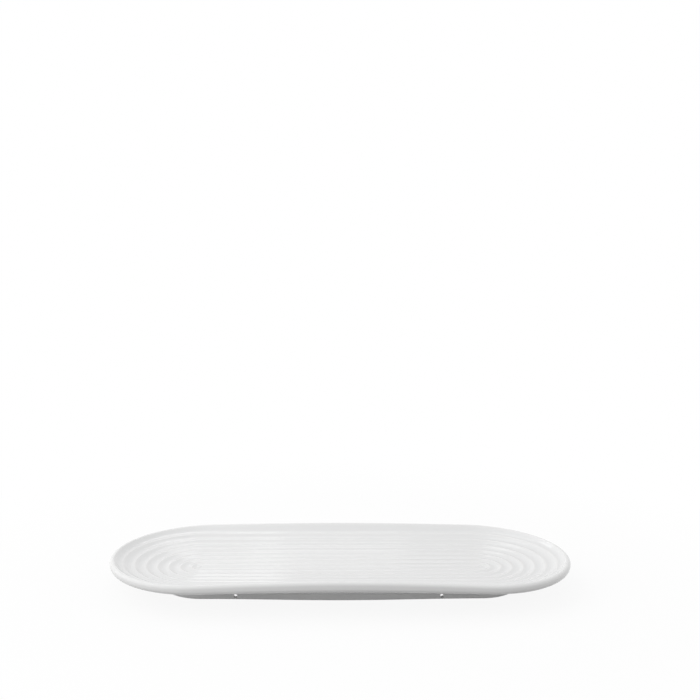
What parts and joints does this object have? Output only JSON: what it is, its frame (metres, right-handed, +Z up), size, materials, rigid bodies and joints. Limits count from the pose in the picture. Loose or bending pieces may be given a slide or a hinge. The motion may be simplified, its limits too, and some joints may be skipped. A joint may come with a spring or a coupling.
{
  "type": "serving platter",
  "caption": "Long round-ended ceramic serving platter with concentric flutes in a shallow well, a thick rounded rim that lifts along its sides, and an inset foot ring.",
  "frame": {"origin": "on the table under the middle of the platter, level with the bearing edge of the foot ring", "axes": "+X along the length, +Y across the width towards the back, +Z up"},
  "size_m": [0.38, 0.156, 0.0295],
  "materials": {
    "body_glaze": "glossy white glaze, thin on the ridges and pooled a little in the flutes",
    "foot_glaze": "glossy white glaze with a bare ground bearing edge"
  },
  "bodies": {
    "root": {"platter_body": "body_glaze", "foot_ring": "foot_glaze"}
  },
  "joints": []
}
